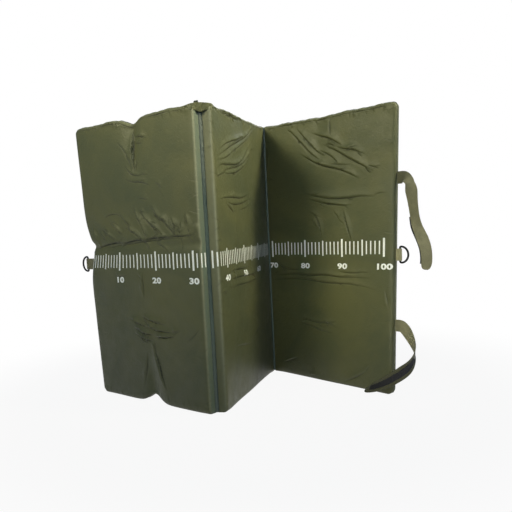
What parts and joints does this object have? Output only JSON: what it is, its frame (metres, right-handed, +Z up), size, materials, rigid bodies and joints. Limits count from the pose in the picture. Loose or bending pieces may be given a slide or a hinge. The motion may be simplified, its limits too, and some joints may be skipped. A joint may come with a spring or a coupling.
{
  "type": "folding unhooking mat",
  "caption": "Padded folding mat for landing and measuring fish, with foam panels joined by fabric hinges, end rings on webbing tabs and fastening straps.",
  "frame": {"origin": "the middle of the whole mat's bounding box, on the floor", "axes": "+Z up, +X across the zigzag towards the strap end, -Y out of the front towards the viewer"},
  "size_m": [0.7436, 0.32, 0.6073],
  "materials": {
    "front_cloth": "semi-gloss coated nylon",
    "back_cloth": "semi-gloss coated nylon",
    "foam": "closed-cell foam",
    "seam_tape": "woven binding",
    "webbing": "woven webbing",
    "hook_tape": "hook pile",
    "ring_wire": "black enamel"
  },
  "bodies": {
    "middle_panel": {"middle_foam_core": "foam", "middle_front_cover": "front_cloth", "middle_back_cover": "back_cloth", "middle_top_seam": "seam_tape", "middle_foot_seam": "seam_tape", "fold_1_middle_web": "seam_tape", "fold_2_middle_web": "seam_tape"},
    "left_panel": {"left_foam_core": "foam", "left_front_cover": "front_cloth", "left_back_cover": "back_cloth", "left_edge_seam": "seam_tape", "fold_1_left_web": "seam_tape", "left_ring_tab": "webbing"},
    "right_panel": {"right_foam_core": "foam", "right_front_cover": "front_cloth", "right_back_cover": "back_cloth", "right_edge_seam": "seam_tape", "fold_2_right_web": "seam_tape", "right_ring_tab": "webbing", "upper_strap_root": "webbing", "lower_strap_root": "webbing"},
    "left_ring": {"left_d_ring": "ring_wire"},
    "right_ring": {"right_d_ring": "ring_wire"},
    "upper_strap_end": {"upper_strap": "webbing", "upper_strap_hook_tape": "hook_tape"},
    "lower_strap_end": {"lower_strap": "webbing", "lower_strap_hook_tape": "hook_tape"}
  },
  "joints": [
    {"name": "fold_1", "type": "hinge", "parent": "middle_panel", "child": "left_panel", "pos_m": [-0.08252, -0.1473, 0], "axis": [0, 0, 1], "range_deg": [-68, 106]},
    {"name": "fold_2", "type": "hinge", "parent": "middle_panel", "child": "right_panel", "pos_m": [0.07383, 0.14979, 0], "axis": [0, 0, 1], "range_deg": [-52, 114]},
    {"name": "left_ring_swing", "type": "hinge", "parent": "left_panel", "child": "left_ring", "pos_m": [-0.35602, 0.06779, 0.301], "axis": [0, 0, 1], "range_deg": [-90, 90]},
    {"name": "right_ring_swing", "type": "hinge", "parent": "right_panel", "child": "right_ring", "pos_m": [0.3102, -0.09718, 0.291], "axis": [0, 0, 1], "range_deg": [-90, 90]},
    {"name": "upper_strap_swing", "type": "hinge", "parent": "right_panel", "child": "upper_strap_end", "pos_m": [0.3178, -0.09007, 0.447], "axis": [0, 0, 1], "range_deg": [-90, 90]},
    {"name": "lower_strap_swing", "type": "hinge", "parent": "right_panel", "child": "lower_strap_end", "pos_m": [0.30284, -0.10354, 0.145], "axis": [0, 0, 1], "range_deg": [0, 100]}
  ]
}
